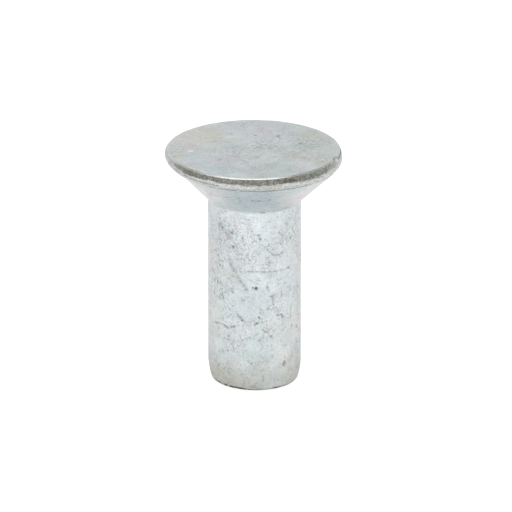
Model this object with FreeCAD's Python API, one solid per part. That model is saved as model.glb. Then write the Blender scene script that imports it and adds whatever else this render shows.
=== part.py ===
"""Solid steel rivet with a 90 degree countersunk head, cold headed from wire in one piece.

It stands on the end of its shank, head up. The origin is the centre of the shank's end face, +Z runs up
the axis to the head's flat face, and every size is in millimetres. The shape is one profile, drawn in the
XZ plane and turned about the Z axis.
"""

import FreeCAD
import Part

import math
import os

# Overall sizes
overall_length = 16.0
shank_diameter = 6.1
head_diameter = 11.7

# Head: flat face, bulged rim, countersunk cone and the blend into the shank
countersink_angle = 90.0
face_edge_radius = 0.10
rim_bulge_radius = 0.50
rim_widest_depth = 0.38
rim_depth = 0.82
under_head_fillet = 0.50

# Shank end: the sheared wire is drawn in over a short length, then rounded into a flat face
end_face_diameter = 4.9
end_draw_in_length = 1.45
end_corner_radius = 0.35

full_turn = 360.0


def point(radius, height):
    """Point of the profile at a radius from the axis and a height above the shank's end face."""
    return FreeCAD.Vector(radius, 0, height)


def on_arc(centre, radius, angle):
    """Point of a circle in the profile's plane, with the angle in degrees above the outward direction."""
    turn = math.radians(angle)
    return centre + FreeCAD.Vector(radius * math.cos(turn), 0, radius * math.sin(turn))


def line(start, end):
    return Part.LineSegment(start, end).toShape()


def arc(centre, radius, start_angle, end_angle):
    """Arc about a centre between two angles in degrees, drawn from the first to the second."""
    middle_angle = (start_angle + end_angle) / 2
    return Part.Arc(
        on_arc(centre, radius, start_angle),
        on_arc(centre, radius, middle_angle),
        on_arc(centre, radius, end_angle),
    ).toShape()


def shank_end(shank_radius):
    """Edges from the axis across the end face and up to the shank, and the point where they meet it.

    The corner arc touches the end face, the draw-in arc touches the shank, and the two touch each other,
    which fixes the draw-in radius.
    """
    face_radius = end_face_diameter / 2
    corner_centre = point(face_radius, end_corner_radius)
    inset = shank_radius - face_radius
    rise = end_draw_in_length - end_corner_radius
    draw_in_radius = (inset**2 + rise**2 - end_corner_radius**2) / (2 * (inset - end_corner_radius))
    draw_in_centre = point(shank_radius - draw_in_radius, end_draw_in_length)
    to_corner = corner_centre - draw_in_centre
    touch_angle = math.degrees(math.atan2(to_corner.z, to_corner.x))
    edges = [
        line(point(0, 0), point(face_radius, 0)),
        arc(corner_centre, end_corner_radius, -90, touch_angle),
        arc(draw_in_centre, draw_in_radius, touch_angle, 0),
    ]
    return edges, point(shank_radius, end_draw_in_length)


def head(shank_radius):
    """Edges from the shank out along the cone, round the rim and across the face to the axis, and the
    point where they leave the shank."""
    half_angle = countersink_angle / 2
    rim_centre = point(head_diameter / 2 - rim_bulge_radius, overall_length - rim_widest_depth)

    # The rim's arc ends in a crease, where the cone starts at the stated depth.
    crease_drop = (rim_depth - rim_widest_depth) / rim_bulge_radius
    crease_angle = -math.degrees(math.asin(crease_drop))
    crease = on_arc(rim_centre, rim_bulge_radius, crease_angle)

    # The fillet touches the cone and the shank, set back from their meeting point by the same tangent.
    meeting_height = crease.z - (crease.x - shank_radius) / math.tan(math.radians(half_angle))
    tangent = under_head_fillet * math.tan(math.radians(half_angle) / 2)
    fillet_centre = point(shank_radius + under_head_fillet, meeting_height - tangent)
    cone_start = on_arc(fillet_centre, under_head_fillet, 180 - half_angle)

    # The small edge radius touches the flat face and, from inside, the rim's arc.
    edge_rise = rim_widest_depth - face_edge_radius
    edge_reach = math.sqrt((rim_bulge_radius - face_edge_radius) ** 2 - edge_rise**2)
    edge_centre = rim_centre + FreeCAD.Vector(edge_reach, 0, edge_rise)
    edge_angle = math.degrees(math.atan2(edge_rise, edge_reach))

    edges = [
        arc(fillet_centre, under_head_fillet, 180, 180 - half_angle),
        line(cone_start, crease),
        arc(rim_centre, rim_bulge_radius, crease_angle, edge_angle),
        arc(edge_centre, face_edge_radius, edge_angle, 90),
        line(point(edge_centre.x, overall_length), point(0, overall_length)),
    ]
    return edges, point(shank_radius, fillet_centre.z)


def rivet():
    """The whole rivet, as one turned solid."""
    shank_radius = shank_diameter / 2
    end_edges, shank_bottom = shank_end(shank_radius)
    head_edges, shank_top = head(shank_radius)
    axis_edge = line(point(0, overall_length), point(0, 0))
    shank_edge = line(shank_bottom, shank_top)
    outline = Part.Wire(end_edges + [shank_edge] + head_edges + [axis_edge])
    return Part.Face(outline).revolve(FreeCAD.Vector(0, 0, 0), FreeCAD.Vector(0, 0, 1), full_turn)


os.makedirs("parts", exist_ok=True)
rivet().exportStep("parts/rivet.step")
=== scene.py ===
"""Studio scene of a solid countersunk rivet in zinc plated steel, standing on the end of its shank.

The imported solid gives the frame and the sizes. The scene draws the same turned profile again and gives it
what cold heading, shearing and barrel plating leave on a real rivet: a head a little off the shank's axis,
a rim of uneven thickness, a drawn-in end, dents, laps, scars and the faintly coloured film of the plate.
Lengths in the classes are millimetres, and the finished mesh is in metres, as the frame is.
"""

import logging
import math
import random
from collections.abc import Sequence
from dataclasses import dataclass, field
from enum import Enum, auto

import bpy
import numpy as np
from bpy.types import Material, NodeSocket, NodeTree, Object, Texture, World
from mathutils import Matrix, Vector, kdtree, noise


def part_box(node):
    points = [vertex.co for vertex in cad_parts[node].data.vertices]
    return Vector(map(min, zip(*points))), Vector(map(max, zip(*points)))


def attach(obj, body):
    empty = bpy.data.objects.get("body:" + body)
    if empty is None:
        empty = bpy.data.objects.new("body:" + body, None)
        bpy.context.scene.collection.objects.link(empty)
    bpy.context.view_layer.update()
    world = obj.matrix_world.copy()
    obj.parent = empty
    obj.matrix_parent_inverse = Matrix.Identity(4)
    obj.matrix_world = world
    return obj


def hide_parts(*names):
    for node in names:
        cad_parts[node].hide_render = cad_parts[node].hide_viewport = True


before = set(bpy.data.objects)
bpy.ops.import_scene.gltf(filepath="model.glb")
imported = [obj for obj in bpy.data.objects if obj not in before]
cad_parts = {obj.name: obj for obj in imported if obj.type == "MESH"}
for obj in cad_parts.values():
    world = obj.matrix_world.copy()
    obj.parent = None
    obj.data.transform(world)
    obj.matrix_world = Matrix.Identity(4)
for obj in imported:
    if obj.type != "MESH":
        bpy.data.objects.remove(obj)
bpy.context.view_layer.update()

LOG = logging.getLogger("rivet")
MM = 0.001
Place = tuple[float, float]

# Middle value of a noise pattern, and how much each octave keeps of the one before.
NOISE_MIDDLE = 0.5
NOISE_ROUGHNESS = 0.6
# How much fainter and finer each octave of soft noise is than the one before.
CLOUD_FADE = 0.8
CLOUD_STEP = 2.0
# Where a soft patch stops being whole and where it ends, as shares of its reach.
PATCH_FADE = (0.25, 1.25)
# Depth of a scratch or a small pit, as a share of its width.
SCRATCH_DEPTH = 0.06
PIT_DEPTH = 0.10
# Places that are taken along a mark's path for each width of the mark.
PLACES_PER_WIDTH = 3


def linear(hex_colour: str) -> tuple[float, float, float, float]:
    """Turn an sRGB hex colour into linear light.

    Args:
        hex_colour: Six hex digits after a hash mark.

    Returns:
        Red, green and blue in linear light, and an alpha of 1.
    """
    channels = [int(hex_colour[i : i + 2], 16) / 255 for i in (1, 3, 5)]
    red, green, blue = (c / 12.92 if c <= 0.04045 else ((c + 0.055) / 1.055) ** 2.4 for c in channels)
    return red, green, blue, 1.0


def add_node(
    tree: NodeTree,
    kind: str,
    inputs: dict[str | int, object] | None = None,
    output: str | int = 0,
    **settings: object,
) -> NodeSocket | None:
    """Add one node with its settings, and set or link its inputs.

    Args:
        tree: Node tree that takes the node.
        kind: Blender's name for the node's type.
        inputs: Values or output sockets, by the input's name or number.
        output: Name or number of the output that is wanted.
        settings: Properties of the node, by name.

    Returns:
        The wanted output, or nothing for a node that ends the tree.
    """
    node = tree.nodes.new(kind)
    for name, value in settings.items():
        setattr(node, name, value)
    for name, value in (inputs or {}).items():
        if isinstance(value, NodeSocket):
            tree.links.new(value, node.inputs[name])
        else:
            node.inputs[name].default_value = value
    return node.outputs[output] if node.outputs else None


def bare_tree(owner: Material | World) -> NodeTree:
    """Give a material or a world an empty node tree."""
    owner.use_nodes = True
    owner.node_tree.nodes.clear()
    return owner.node_tree


def select_only(piece: Object) -> None:
    """Make one object the only selected one, and the active one."""
    bpy.ops.object.select_all(action="DESELECT")
    piece.select_set(True)
    bpy.context.view_layer.objects.active = piece


def smooth(low: float, high: float, value: np.ndarray) -> np.ndarray:
    """Smooth step from 0 at low to 1 at high."""
    share = np.clip((value - low) / (high - low), 0.0, 1.0)
    return share * share * (3 - 2 * share)


def round_share(angles: np.ndarray, stops: tuple[Place, ...]) -> np.ndarray:
    """Share at each angle, between the stops that are given."""
    return np.interp(angles, *zip(*stops))


def cloud(coords: np.ndarray, waves: float, octaves: int) -> np.ndarray:
    """Soft noise on both sides of 0 at each place, with its coarsest waves counted to the millimetre."""
    return np.array([noise.fractal(Vector(p) * waves, CLOUD_FADE, CLOUD_STEP, octaves) for p in coords])


def finder(places: Sequence) -> kdtree.KDTree:
    """Tree that finds the nearest of some places."""
    tree = kdtree.KDTree(len(places))
    for i, place in enumerate(places):
        tree.insert(place, i)
    tree.balance()
    return tree


class Zone(Enum):
    """Stretches of the profile, in order from the axis below to the axis above."""

    END_FACE = auto()
    DRAWN_END = auto()
    SHANK = auto()
    FILLET = auto()
    CONE = auto()
    LIP = auto()
    RIM = auto()
    FACE_EDGE = auto()
    FACE = auto()


class Stain(Enum):
    """What darkens a mark, or brightens it as a painted highlight, and the attribute that carries it to the
    finish.
    """

    SOOT = "soot"
    RUST = "rust"
    BRIGHT = "bright"


@dataclass(frozen=True)
class ProfilePoint:
    """One point of the turned profile, in millimetres."""

    radius: float
    height: float
    zone: Zone


@dataclass(frozen=True)
class TurnedProfile:
    """The rivet's profile, from the centre of the end face up the shank and over the head to the axis."""

    length: float
    head_radius: float
    shank_radius: float = 3.07
    half_angle: float = 45.0
    face_edge_radius: float = 0.16
    lip_radius: float = 0.594
    rim_radius: float = 1.05
    rim_lean: float = 9.4
    rim_widest_depth: float = 0.384
    rim_depth: float = 0.928
    fillet_radius: float = 0.50
    end_face_radius: float = 2.62
    draw_in_length: float = 1.45
    corner_radius: float = 0.28
    end_spacing: float = 0.25
    face_spacing: float = 0.11
    shank_spacing: float = 0.07
    cone_spacing: float = 0.09
    bend_spacing: float = 0.05
    least_bend_steps: int = 3

    @property
    def widest(self) -> float:
        """Height of the rim's widest line."""
        return self.length - self.rim_widest_depth

    @property
    def crease(self) -> float:
        """Height of the crease under the lip."""
        return self.length - self.rim_depth

    def run(self, start: Place, end: Place, spacing: float, zone: Zone) -> list[ProfilePoint]:
        """Points along a straight stretch, without its first one.

        Args:
            start: Radius and height where it starts.
            end: Radius and height where it ends.
            spacing: Longest step between two points.
            zone: Zone that the stretch belongs to.

        Returns:
            The points, evenly spaced, the end included.
        """
        steps = max(1, math.ceil(math.dist(start, end) / spacing))
        shares = [(i + 1) / steps for i in range(steps)]
        return [
            ProfilePoint(start[0] + (end[0] - start[0]) * t, start[1] + (end[1] - start[1]) * t, zone)
            for t in shares
        ]

    def bend(
        self, centre: Place, radius: float, start: float, end: float, spacing: float, zone: Zone
    ) -> list[ProfilePoint]:
        """Points along an arc, without its first one.

        Args:
            centre: Radius and height of the arc's centre.
            radius: The arc's own radius.
            start: Angle where it starts, in degrees above the outward direction.
            end: Angle where it ends.
            spacing: Longest step between two points.
            zone: Zone that the arc belongs to.

        Returns:
            The points, evenly spaced, the end included.
        """
        arc_length = radius * math.radians(abs(end - start))
        steps = max(self.least_bend_steps, math.ceil(arc_length / spacing))
        angles = [math.radians(start + (end - start) * (i + 1) / steps) for i in range(steps)]
        return [
            ProfilePoint(centre[0] + radius * math.cos(a), centre[1] + radius * math.sin(a), zone)
            for a in angles
        ]

    def end_points(self) -> list[ProfilePoint]:
        """The end face, its corner and the drawn-in stretch above it, up to the full shank."""
        inset = self.shank_radius - self.end_face_radius
        rise = self.draw_in_length - self.corner_radius
        draw_in = (inset**2 + rise**2 - self.corner_radius**2) / (2 * (inset - self.corner_radius))
        draw_centre = (self.shank_radius - draw_in, self.draw_in_length)
        corner = (self.end_face_radius, self.corner_radius)
        touch = math.degrees(math.atan2(corner[1] - draw_centre[1], corner[0] - draw_centre[0]))
        return [
            ProfilePoint(0.0, 0.0, Zone.END_FACE),
            *self.run((0.0, 0.0), (self.end_face_radius, 0.0), self.end_spacing, Zone.END_FACE),
            *self.bend(corner, self.corner_radius, -90, touch, self.bend_spacing, Zone.DRAWN_END),
            *self.bend(draw_centre, draw_in, touch, 0, self.shank_spacing, Zone.DRAWN_END),
        ]

    def points(self) -> list[ProfilePoint]:
        """The whole profile, in order.

        Returns:
            Points from the centre of the end face to the centre of the head's face.
        """
        half = math.radians(self.half_angle)
        lip = (self.head_radius - self.lip_radius, self.widest)
        crease_angle = -math.asin((self.rim_depth - self.rim_widest_depth) / self.lip_radius)
        crease = (lip[0] + self.lip_radius * math.cos(crease_angle), self.crease)
        meeting = crease[1] - (crease[0] - self.shank_radius) / math.tan(half)
        fillet = (self.shank_radius + self.fillet_radius, meeting - self.fillet_radius * math.tan(half / 2))
        cone_turn = math.pi - half
        cone_start = (
            fillet[0] + self.fillet_radius * math.cos(cone_turn),
            fillet[1] + self.fillet_radius * math.sin(cone_turn),
        )
        lean = math.radians(self.rim_lean)
        rim = (
            self.head_radius - self.rim_radius * math.cos(lean),
            self.widest - self.rim_radius * math.sin(lean),
        )
        edge_offset = self.rim_radius - self.face_edge_radius
        edge_angle = math.asin((self.length - self.face_edge_radius - rim[1]) / edge_offset)
        edge = (rim[0] + edge_offset * math.cos(edge_angle), self.length - self.face_edge_radius)
        turn = math.degrees(edge_angle)

        fine = self.bend_spacing
        shank = ((self.shank_radius, self.draw_in_length), (self.shank_radius, fillet[1]))
        return [
            *self.end_points(),
            *self.run(*shank, self.shank_spacing, Zone.SHANK),
            *self.bend(fillet, self.fillet_radius, 180, math.degrees(cone_turn), fine, Zone.FILLET),
            *self.run(cone_start, crease, self.cone_spacing, Zone.CONE),
            *self.bend(lip, self.lip_radius, math.degrees(crease_angle), 0, fine, Zone.LIP),
            *self.bend(rim, self.rim_radius, self.rim_lean, turn, fine, Zone.RIM),
            *self.bend(edge, self.face_edge_radius, turn, 90, fine / 2, Zone.FACE_EDGE),
            *self.run((edge[0], self.length), (0.0, self.length), self.face_spacing, Zone.FACE),
        ]


@dataclass(frozen=True)
class Unevenness:
    """What heading, trimming and shearing leave off true, with +X as the right side.

    The head's cone leans to the right, its rim sits a little to the left, and the rim's widest line drops
    on the right. The end is sheared at a small lean. Next to the axis there is no left or right.
    """

    rim_shift: float = -0.071
    cone_shift: float = 0.182
    cone_shift_band: tuple[float, float] = (-0.217, 0.161)
    widest_drop: float = 0.113
    end_lean: float = 0.4
    end_lean_height: float = 3.0
    draw_in_skew: float = 0.06
    draw_in_reach: float = 2.8
    sideless_radius: float = 0.1

    def apply(self, coords: np.ndarray, profile: TurnedProfile) -> np.ndarray:
        """Move the turned shape's points to where they are on the real one.

        Args:
            coords: Points of the turned shape, in millimetres, one a row.
            profile: The profile that they were turned from.

        Returns:
            The moved points.
        """
        x, y, z = coords.T
        side = x / np.maximum(np.hypot(x, y), self.sideless_radius)
        crease = profile.crease
        cone_foot = crease - (profile.head_radius - profile.shank_radius)
        on_cone = np.clip((z - cone_foot) / (crease - cone_foot), 0.0, 1.0)
        fade_start, fade_end = self.cone_shift_band
        above_cone = smooth(crease + fade_start, crease + fade_end, z)
        moved_x = x + self.rim_shift * smooth(crease, profile.widest, z)
        moved_x = moved_x + self.cone_shift * on_cone * (1 - above_cone)
        at_widest = np.sin(np.pi * np.clip((z - crease) / (profile.length - crease), 0.0, 1.0))
        moved_z = z - self.widest_drop * side * at_widest

        # The hump is 1 at a third of its reach, and 0 at both ends.
        below = np.clip(z / self.draw_in_reach, 0.0, 1.0)
        hump = 27 / 4 * below * (1 - below) ** 2
        moved_z = moved_z - self.draw_in_skew * side * hump
        end_share = 1 - smooth(0.0, self.end_lean_height, z)
        lean = math.tan(math.radians(self.end_lean))
        moved_z = moved_z + end_share * lean * (profile.end_face_radius - x)
        return np.column_stack((moved_x, y, moved_z))


@dataclass(frozen=True)
class Mark:
    """A dent, scratch or spot that follows a path on one of the surfaces.

    A path on the face has X and Y. Elsewhere it has the angle to the right of the front, in degrees, and
    the height above the end face. A broken mark fades in and out along its path.
    """

    path: tuple[Place, ...]
    width: float
    depth: float
    strength: float = 0.6
    broken: float = 0.3
    stain: Stain = Stain.SOOT
    on_face: bool = False


class Surface:
    """The turned surface, asked for places by angle and height, or by X and Y on the face."""

    def __init__(self, profile: TurnedProfile) -> None:
        """Keep the outer profile's heights and radii."""
        outer = [p for p in profile.points() if p.zone not in (Zone.END_FACE, Zone.FACE)]
        self.length = profile.length
        self.heights = [p.height for p in outer]
        self.radii = [p.radius for p in outer]

    def place(self, stop: Place, on_face: bool) -> Vector:
        """Point of the surface at one stop of a path."""
        if on_face:
            return Vector((stop[0], stop[1], self.length))
        turn = math.radians(stop[0])
        radius = float(np.interp(stop[1], self.heights, self.radii))
        return Vector((radius * math.sin(turn), -radius * math.cos(turn), stop[1]))

    def trace(self, mark: Mark) -> list[Vector]:
        """Closely spaced points of the surface along a mark's path.

        Args:
            mark: The mark to follow.

        Returns:
            Points in millimetres.
        """
        stops = [self.place(stop, mark.on_face) for stop in mark.path]
        places = [stops[0]]
        for before, after, start, end in zip(mark.path, mark.path[1:], stops, stops[1:]):
            steps = max(1, math.ceil((end - start).length / (mark.width / PLACES_PER_WIDTH)))
            for i in range(1, steps + 1):
                stop = tuple(a + (b - a) * i / steps for a, b in zip(before, after))
                places.append(self.place(stop, mark.on_face))
        return places


LAP_PATH = (
    (-12, 8.49), (-4.5, 8.53), (4.5, 8.54), (14, 8.50), (25, 8.45), (35, 8.44), (47, 8.46), (51, 8.54),
)
LONG_SCAR_PATH = (
    (-33.5, 9.44), (-32, 9.20), (-30.5, 8.84), (-27.5, 8.66), (-25, 8.44), (-22, 8.18), (-18.5, 7.85),
    (-13, 7.53), (-10, 7.26),
)
SMEAR_PATH = ((-52, 11.55), (-44, 11.40), (-37, 11.05), (-31, 10.75))
OVAL_PATH = ((-34, 10.16), (-32.6, 10.3), (-31, 10.16), (-32.6, 10.0), (-34, 10.16))
CURVED_PATH = ((-59, 4.42), (-48.5, 4.52), (-41.5, 4.52))
RING_PATH = ((16, 10.06), (20, 9.81), (24, 9.68), (31, 9.55), (37, 9.68))
CONE_RING_PATH = ((-17, 14.20), (-15, 14.27), (-13.5, 14.00), (-15, 13.66), (-18.5, 13.46), (-20, 13.55))
CONE_SCRATCH_PATH = ((-43.5, 14.23), (-39.5, 14.09), (-34.5, 14.03), (-28.5, 14.07), (-22, 14.16))
CONE_DOTS_PATH = ((-3.5, 14.00), (1, 13.97), (7, 14.06), (16, 14.08))
CONE_LOW_PATH = ((22.5, 12.70), (32.5, 12.68), (40, 12.80), (47.5, 12.94))
LIP_FOLD_PATH = ((-72, 15.60), (-62, 15.50), (-52, 15.42), (-43, 15.38), (-34, 15.34), (-24, 15.33))
EDGE_LINE_PATH = ((75.5, 15.91), (77, 15.91), (82, 15.92), (89, 15.94), (97, 15.94))

# Each mark has its path, width and depth, then its strength, how broken it is, and its stain if not soot and
# shade.
FRONT_MARKS = {
    "lap_line": (LAP_PATH, 0.10, 0.016, 0.36, 0.5),
    "lap_dash_left": (((-8, 8.52), (-4.5, 8.53)), 0.09, 0.016, 0.60, 0.0),
    "lap_dash_middle": (((9, 8.51), (13.5, 8.50)), 0.10, 0.016, 0.60, 0.0),
    "lap_dash_right": (((45.5, 8.45), (48, 8.46)), 0.12, 0.020, 0.7, 0.0),
    "deep_pit": (((2.0, 7.35),), 0.23, 0.10, 1.0, 0.0),
    "deep_pit_left_lobe": (((-2.0, 7.39),), 0.15, 0.04, 0.9, 0.0),
    "dash_over_pit": (((3.5, 7.91), (7, 7.90)), 0.09, 0.012, 0.30),
    "dash_at_pit": (((1, 7.67), (4, 7.68)), 0.09, 0.012, 0.35),
    "squiggle": (((14.5, 7.28), (15.5, 7.42), (17, 7.43), (18, 7.19)), 0.09, 0.012, 0.5),
    "long_scar": (LONG_SCAR_PATH, 0.36, 0.022, 0.17, 0.7, Stain.RUST),
    "long_scar_core": (LONG_SCAR_PATH, 0.12, 0.010, 0.17, 1.0),
    "scar_start": (((-31.5, 8.98), (-30, 8.82)), 0.13, 0.01, 0.45, 0.2),
    "scar_middle": (((-19.5, 7.98), (-17.5, 7.80)), 0.20, 0.01, 0.30, 0.2, Stain.RUST),
    "upper_smear": (SMEAR_PATH, 0.45, 0.0, 0.17, 0.9, Stain.RUST),
    "left_dash": (((-53, 7.54), (-52, 7.30)), 0.13, 0.016, 0.6, 0.1),
    "left_dash_low": (((-44, 6.72), (-42, 6.36)), 0.13, 0.020, 0.6, 0.1),
    "left_curve": (((-42, 6.38), (-40.5, 5.87), (-37.5, 5.70)), 0.10, 0.010, 0.25),
    "upper_cross": (((-33.5, 11.24), (-27, 11.06)), 0.12, 0.014, 0.65, 0.5),
    "upper_cross_back": (((-33.5, 10.99), (-27, 11.27)), 0.11, 0.012, 0.50, 0.5),
    "black_dash": (((-27, 10.23), (-27.8, 10.12)), 0.12, 0.020, 0.85, 0.0),
    "small_oval": (OVAL_PATH, 0.08, 0.008, 0.30),
    "curved_scratch": (CURVED_PATH, 0.10, 0.02, 0.50, 0.4),
    "curved_scratch_deep": (((-41.5, 4.52), (-37.5, 4.43), (-35, 4.37)), 0.12, 0.02, 0.65, 0.1),
    "curved_scratch_tail": (((-31, 4.46), (-25, 4.58)), 0.12, 0.02, 0.60, 0.1),
    "low_arc": (((-15, 3.66), (-9, 3.81), (-2.5, 3.89), (3.5, 4.12)), 0.10, 0.012, 0.28),
    "low_arc_right": (((10, 4.42), (13, 4.29), (16.5, 4.13)), 0.10, 0.012, 0.38, 0.5),
    "low_hook": (((-18.5, 4.00), (-15.5, 3.70)), 0.10, 0.010, 0.30),
    "ring_trace": (RING_PATH, 0.10, 0.01, 0.40, 0.5),
    "brown_link": (((22, 6.68), (23.5, 6.51), (24, 6.14)), 0.11, 0.01, 0.32, 0.8, Stain.RUST),
    "brown_link_right": (((29.5, 5.33), (35.5, 5.30)), 0.13, 0.01, 0.55, 0.1, Stain.RUST),
    "small_arc": (((15.5, 5.84), (17.5, 5.94), (19.5, 5.84)), 0.10, 0.012, 0.5),
    "square_spot": (((40.2, 1.89), (39.0, 1.77)), 0.30, 0.03, 0.55, 0.0),
    "drawn_line": (((51.5, 5.71), (52, 4.57), (53, 3.21), (53, 2.07)), 0.08, 0.01, 0.25, 0.7),
    "upper_right_line": (((34, 11.00), (36.5, 10.84), (35, 10.64), (32.5, 10.49)), 0.10, 0.01, 0.35),
    "right_line": (((53.5, 11.28), (55, 11.01), (58.5, 10.74)), 0.09, 0.01, 0.50, 0.3, Stain.RUST),
    "right_dash": (((50, 10.62), (50, 10.45)), 0.11, 0.012, 0.55, 0.1),
    "cone_ring": (CONE_RING_PATH, 0.11, 0.008, 0.40, 0.7),
    "cone_scratch": (CONE_SCRATCH_PATH, 0.11, 0.008, 0.36, 0.5),
    "cone_scratch_left": (((-44, 14.40), (-45, 14.08), (-45, 13.82)), 0.10, 0.008, 0.25),
    "cone_dotted_line": (CONE_DOTS_PATH, 0.10, 0.008, 0.60, 1.3),
    "cone_foot_dash": (((8, 12.68), (12, 12.65)), 0.12, 0.012, 0.6, 0.2),
    "cone_low_line": (CONE_LOW_PATH, 0.10, 0.008, 0.30, 0.8),
    "lip_fold_left": (LIP_FOLD_PATH, 0.12, 0.02, 0.5),
    # Painted shadow in the crease under the lip, on the right, laid with soot.
    "crease_right": (((22, 15.07), (45, 15.07), (62, 15.08), (76, 15.08)), 0.09, 0.01, 0.4, 0.6),
    # The notch's glint is a painted highlight.
    "notch_glint": (((71.7, 15.92),), 0.20, 0.0, 1.0, 0.0, Stain.BRIGHT),
    "edge_line_right": (EDGE_LINE_PATH, 0.12, 0.01, 0.65, 0.15),
    # Painted dark reflection on the rim's band, laid with soot.
    "rim_dark_right": (((36, 15.64), (46, 15.64), (55, 15.74)), 0.24, 0.0, 0.35, 0.9),
    "rim_dark_left": (((-58, 15.74), (-48, 15.72), (-36, 15.68)), 0.24, 0.0, 0.22, 0.9),
    "rim_scab": (((20, 15.78), (24, 15.80), (29, 15.68)), 0.24, 0.0, 0.75, 0.3, Stain.RUST),
    "end_streak": (((11, 1.15), (10.5, 0.80)), 0.16, 0.01, 0.28),
    "end_spot_left": (((-37, 0.36),), 0.14, 0.01, 0.5),
    "end_patch": (((-6, 0.34), (2, 0.32)), 0.16, 0.01, 0.30),
}

# Spots, by angle and height, or by X and Y on the face. Width and strength follow.
FRONT_SPECKS = (
    (-49, 11.31, 0.13, 0.5), (-43.5, 11.33, 0.17, 0.6), (-39, 11.50, 0.13, 0.5), (-34, 11.54, 0.12, 0.5),
    (-37, 10.93, 0.12, 0.5), (-35.5, 10.73, 0.11, 0.4), (-39, 10.47, 0.13, 0.4), (-23, 10.30, 0.14, 0.4),
    (-5, 10.44, 0.11, 0.4), (-19, 9.71, 0.15, 0.4), (-51, 9.33, 0.13, 0.45), (-25, 9.42, 0.12, 0.4),
    (-33.5, 9.44, 0.14, 0.5), (-51, 9.76, 0.10, 0.4), (-4.5, 11.07, 0.12, 0.6), (4.7, 11.08, 0.16, 0.9),
    (6.8, 10.82, 0.16, 0.85), (12.5, 10.77, 0.11, 0.5), (15.5, 10.72, 0.11, 0.6), (18, 10.39, 0.12, 0.5),
    (12, 10.24, 0.11, 0.4), (16, 10.06, 0.15, 0.95), (31, 9.56, 0.13, 0.6), (37, 9.68, 0.13, 0.7),
    (30, 12.22, 0.13, 0.5), (25.5, 11.55, 0.12, 0.4), (3.5, 12.26, 0.13, 0.4), (17.5, 12.00, 0.12, 0.4),
    (63.5, 9.70, 0.14, 0.6), (55, 9.64, 0.12, 0.4), (34, 9.41, 0.12, 0.35), (14.5, 9.39, 0.12, 0.35),
    (-12.5, 9.35, 0.12, 0.5), (-6, 9.33, 0.13, 0.5), (-23, 9.36, 0.13, 0.4), (-7.5, 9.12, 0.12, 0.35),
    (-65, 8.08, 0.18, 0.6), (-58.5, 7.40, 0.19, 0.75), (-46.5, 7.39, 0.14, 0.45), (-49.5, 6.83, 0.17, 0.6),
    (-21, 7.27, 0.14, 0.4), (-24, 6.40, 0.12, 0.35), (-46.5, 6.25, 0.14, 0.3), (-17, 8.71, 0.12, 0.45),
    (-17, 8.46, 0.13, 0.5), (-12, 8.49, 0.13, 0.45), (16, 7.69, 0.11, 0.4), (31, 7.52, 0.13, 0.55),
    (41, 7.49, 0.14, 0.55), (29.5, 7.85, 0.11, 0.35), (38.5, 7.27, 0.12, 0.35), (56, 7.78, 0.13, 0.4),
    (55, 6.29, 0.12, 0.5), (62.5, 5.91, 0.12, 0.35), (28, 5.87, 0.15, 0.6), (8, 5.86, 0.13, 0.5),
    (24, 6.12, 0.13, 0.6), (9.3, 5.16, 0.15, 0.8), (9.7, 4.97, 0.13, 0.65), (37, 5.14, 0.20, 1.0),
    (20.5, 3.92, 0.16, 0.65), (5.5, 3.68, 0.14, 0.65), (4.5, 4.17, 0.11, 0.4), (16, 3.28, 0.12, 0.35),
    (22, 2.53, 0.14, 0.5), (45.5, 2.48, 0.12, 0.35), (57.5, 2.92, 0.12, 0.4), (53.5, 4.30, 0.13, 0.4),
    (53, 2.08, 0.13, 0.35), (-21, 5.33, 0.14, 0.6), (-17.5, 5.25, 0.14, 0.55), (-15.3, 5.07, 0.18, 0.85),
    (-34, 3.79, 0.15, 0.65), (-15.3, 3.67, 0.18, 0.75), (-15.5, 4.29, 0.11, 0.4), (-11, 4.24, 0.12, 0.5),
    (-12, 4.08, 0.12, 0.4), (-35, 2.76, 0.14, 0.75), (-24.5, 2.92, 0.13, 0.35), (-56, 2.11, 0.14, 0.35),
    (4.5, 2.19, 0.15, 0.30), (31, 0.75, 0.14, 0.4), (-32.5, 13.51, 0.12, 0.45), (40, 13.15, 0.12, 0.45),
    (-35.5, 14.89, 0.12, 0.45), (-43.5, 12.37, 0.16, 0.4), (-38.5, 12.54, 0.15, 0.4),
)

FRONT_RUST = (
    (-15, 10.96, 0.20, 0.40), (-15, 10.82, 0.20, 0.40), (32, 11.11, 0.15, 0.5), (37, 10.85, 0.14, 0.55),
    (37, 10.46, 0.14, 0.5), (33.5, 10.30, 0.13, 0.5), (-27.5, 6.97, 0.14, 0.5), (-27.5, 6.00, 0.16, 0.75),
    (22, 6.70, 0.18, 0.65), (19, 6.74, 0.14, 0.5), (5.5, 5.30, 0.18, 0.8), (2.8, 4.89, 0.18, 0.7),
    (6.5, 4.64, 0.13, 0.5), (0, 4.81, 0.13, 0.45), (35.5, 5.31, 0.17, 0.95), (29.5, 5.33, 0.18, 0.8),
    (-8, 2.22, 0.15, 0.4), (-50.5, 1.48, 0.20, 0.35), (6.8, 5.69, 0.12, 0.4), (-3.7, 5.02, 0.12, 0.35),
)

# Marks with the painted highlight stand in for light caught by the scratch's wall, by flecks next to the
# edge's highlight, and by faint scratches.
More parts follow.
